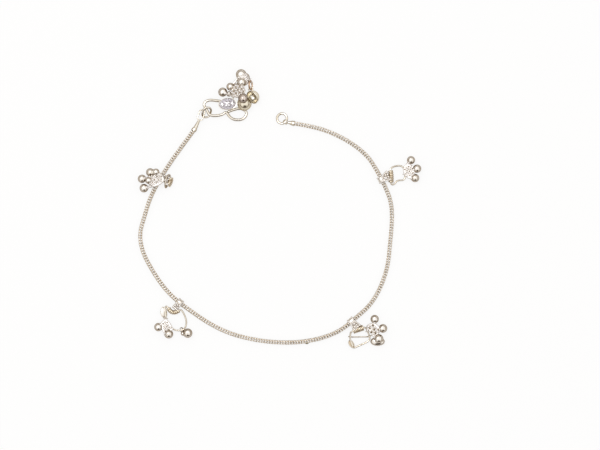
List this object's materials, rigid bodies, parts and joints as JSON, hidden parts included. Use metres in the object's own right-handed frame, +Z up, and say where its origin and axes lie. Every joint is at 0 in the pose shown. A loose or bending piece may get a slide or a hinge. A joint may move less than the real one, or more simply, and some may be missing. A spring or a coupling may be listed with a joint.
{
  "type": "payal anklet",
  "caption": "Unfastened silver anklet lying flat: fine round chain, ball charms hung from ribbed barrels and wire frames, an end ring, and an S-hook clasp with small bells.",
  "frame": {"origin": "middle of the outline in plan, on the surface that the anklet lies on", "axes": "+Z up from the surface; +Y towards the clasp and the end ring; +X to the right when it is seen from above with the clasp at the top left"},
  "size_m": [0.1062, 0.1048, 0.0088],
  "materials": {
    "chain_silver": "fine loop-in-loop links, polished outside and darker between them",
    "polished_silver": "polished, with light wear",
    "worked_silver": "polished shot and ribs, with brown tarnish in the hollows"
  },
  "bodies": {
    "root": {"bail_1": "worked_silver", "bail_2": "worked_silver", "bail_3": "worked_silver", "bail_4": "worked_silver", "ball_2": "polished_silver", "bell_a": "polished_silver", "bell_b": "polished_silver", "chain": "chain_silver", "charm_1": "worked_silver", "charm_2": "worked_silver", "charm_3": "worked_silver", "charm_4": "worked_silver", "clasp_charm": "worked_silver", "clasp_end_cap": "polished_silver", "clasp_jump_ring": "polished_silver", "cluster_ring": "polished_silver", "end_ring": "polished_silver", "frame_1": "polished_silver", "frame_2": "polished_silver", "frame_3": "polished_silver", "frame_4": "polished_silver", "leaf_2": "polished_silver", "leaf_3": "polished_silver", "ring_end_cap": "polished_silver", "s_hook": "polished_silver", "tie_3": "polished_silver", "top_ring": "polished_silver"}
  },
  "joints": []
}
